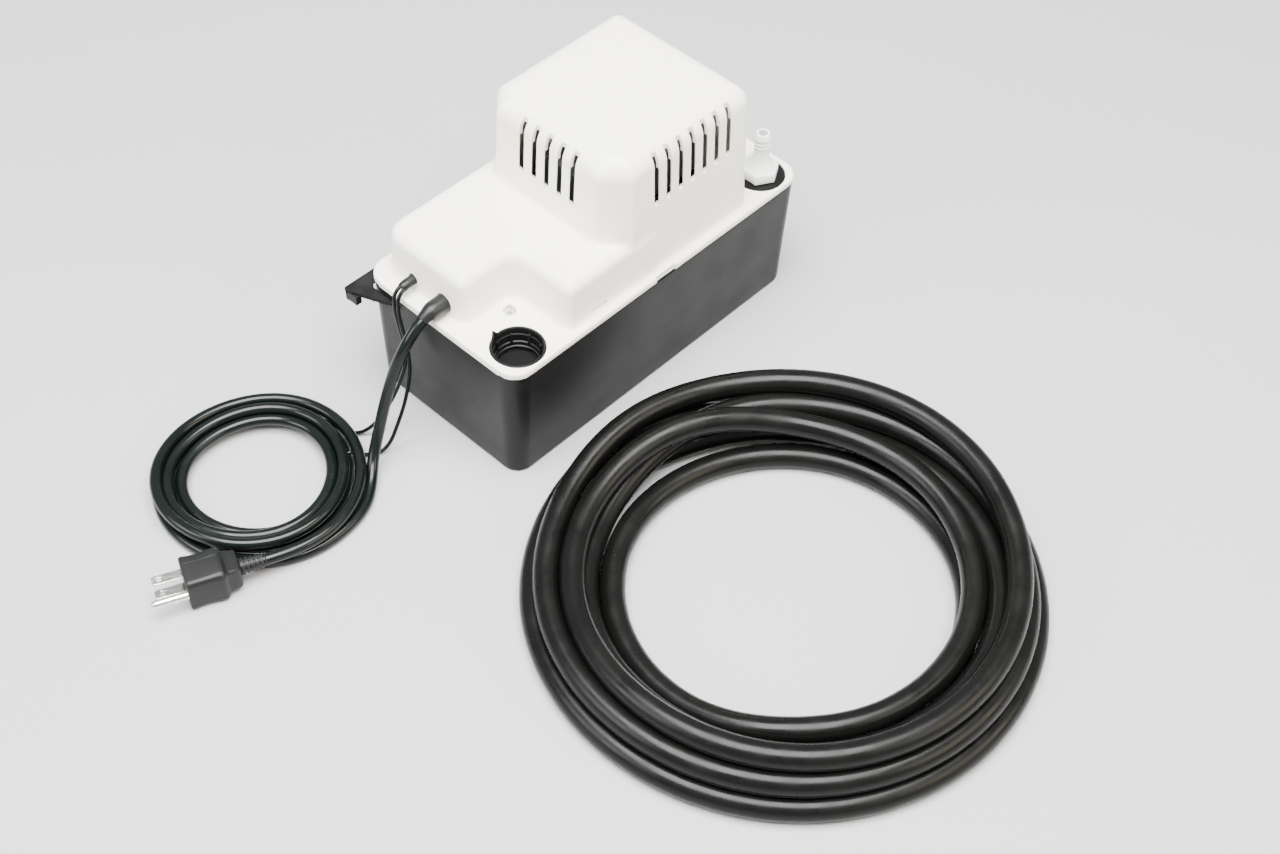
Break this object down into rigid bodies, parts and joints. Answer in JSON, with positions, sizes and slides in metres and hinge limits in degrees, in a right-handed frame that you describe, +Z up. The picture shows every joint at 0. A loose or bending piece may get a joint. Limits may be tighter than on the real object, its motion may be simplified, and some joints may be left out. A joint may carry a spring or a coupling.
{
  "type": "condensate removal pump",
  "caption": "Automatic condensate pump: black tank, white slotted motor cover, float-driven switches, barbed check valve, corded plug, alarm leads and a coiled discharge hose.",
  "frame": {"origin": "centre of the tank's base, on the surface that the pump stands on", "axes": "+X along the long side to the outlet end, +Y to the wall side with the hanging ears, +Z up"},
  "size_m": [0.4744, 0.4886, 0.178],
  "materials": {
    "cover_white": "satin moulded plastic",
    "tank_black": "satin moulded plastic",
    "natural_nylon": "uncoloured moulded nylon",
    "plated_steel": "zinc plated",
    "laminated_steel": "stacked pressings, varnished",
    "copper_winding": "enamelled copper wire",
    "bronze_bush": "sintered bronze",
    "float_foam": "closed-cell foam",
    "black_rubber": "satin vinyl",
    "nickel_blade": "nickel plated",
    "seal_rubber": "moulded rubber"
  },
  "bodies": {
    "root": {"tank": "tank_black", "deck_plate": "tank_black", "cover": "cover_white", "hanger_ear_cord_end": "tank_black", "hanger_ear_outlet_end": "tank_black", "cover_screw_inlet": "plated_steel", "cover_screw_outlet": "plated_steel", "stator_laminations": "laminated_steel", "coil_bobbin": "natural_nylon", "coil_winding": "copper_winding", "upper_bearing_bracket": "plated_steel", "lower_bearing_bracket": "plated_steel", "upper_bearing": "bronze_bush", "lower_bearing": "bronze_bush", "motor_standoff_1": "natural_nylon", "motor_standoff_2": "natural_nylon", "motor_standoff_3": "natural_nylon", "motor_standoff_4": "natural_nylon", "motor_spacer_1": "plated_steel", "motor_spacer_2": "plated_steel", "motor_spacer_3": "plated_steel", "motor_spacer_4": "plated_steel", "motor_screw_1": "plated_steel", "motor_screw_2": "plated_steel", "motor_screw_3": "plated_steel", "motor_screw_4": "plated_steel", "pump_column": "tank_black", "volute_housing": "tank_black", "intake_plate": "tank_black", "discharge_tube": "tank_black", "check_valve_body": "natural_nylon", "float_bracket": "tank_black", "float_pivot_pin": "plated_steel", "run_switch": "tank_black", "safety_switch": "tank_black", "cord_gland": "seal_rubber", "lead_grommet": "seal_rubber", "power_cord_run": "black_rubber", "power_cord_coil": "black_rubber", "plug_body": "black_rubber", "plug_strain_relief": "black_rubber", "plug_blade_line": "nickel_blade", "plug_blade_neutral": "nickel_blade", "plug_ground_pin": "nickel_blade", "alarm_lead_a": "black_rubber", "alarm_lead_b": "black_rubber", "hose_coil": "black_rubber"},
    "rotor": {"rotor_core": "laminated_steel", "motor_shaft": "plated_steel", "cooling_fan": "tank_black", "impeller": "natural_nylon", "shaft_slinger": "seal_rubber"},
    "float": {"float_body": "float_foam", "float_arm": "tank_black"},
    "run_lever": {"run_switch_lever": "plated_steel"},
    "safety_lever": {"safety_switch_lever": "plated_steel"},
    "valve_ball": {"check_valve_ball": "seal_rubber"}
  },
  "joints": [
    {"name": "rotor_spin", "type": "hinge", "parent": "root", "child": "rotor", "pos_m": [0.016, 0, 0.1], "axis": [0, 0, 1], "continuous": true},
    {"name": "float_lift", "type": "hinge", "parent": "root", "child": "float", "pos_m": [-0.028, 0.02, 0.07], "axis": [0, 1, 0], "range_deg": [0, 20]},
    {"name": "run_lever_press", "type": "hinge", "parent": "root", "child": "run_lever", "pos_m": [-0.032, 0.011, 0.112], "axis": [0, -1, 0], "range_deg": [0, 20]},
    {"name": "safety_lever_press", "type": "hinge", "parent": "root", "child": "safety_lever", "pos_m": [-0.032, 0.027, 0.112], "axis": [0, -1, 0], "range_deg": [0, 20]},
    {"name": "valve_ball_lift", "type": "slide", "parent": "root", "child": "valve_ball", "axis": [0, 0, 1], "range_m": [0, 0.004]}
  ],
  "couplings": [
    {"joint": "run_lever_press", "follows": "float_lift", "ratio": 1},
    {"joint": "safety_lever_press", "follows": "float_lift", "ratio": 1}
  ]
}
